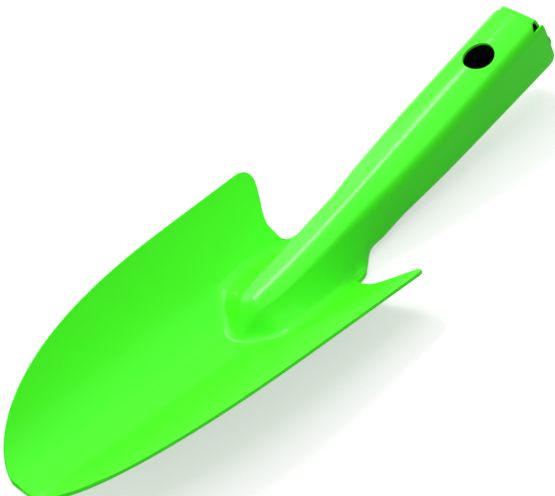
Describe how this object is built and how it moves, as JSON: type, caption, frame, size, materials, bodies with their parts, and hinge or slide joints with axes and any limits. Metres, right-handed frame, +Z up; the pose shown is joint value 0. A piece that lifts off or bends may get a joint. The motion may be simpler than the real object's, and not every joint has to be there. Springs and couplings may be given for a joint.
{
  "type": "garden trowel",
  "caption": "Hand trowel pressed and rolled from one green-painted steel sheet: dished, pointed blade with a stiffening rib, open neck and hollow box handle with a hanging hole.",
  "frame": {"origin": "centre of the bounding box's footprint, on the plane that the trowel lies on", "axes": "-Y points to the blade's tip and +Y to the handle's end, +Z is up, out of the hollow side of the blade, and +X is across the blade"},
  "size_m": [0.0854, 0.241, 0.0344],
  "materials": {
    "green_paint": "glossy light green paint on steel sheet",
    "weld_paint": "the same green paint over the slightly rough weld metal"
  },
  "bodies": {
    "root": {"blade_and_handle": "green_paint", "seam_weld_front": "weld_paint", "seam_weld_end": "weld_paint", "tab_weld_left": "weld_paint", "tab_weld_right": "weld_paint"}
  },
  "joints": []
}
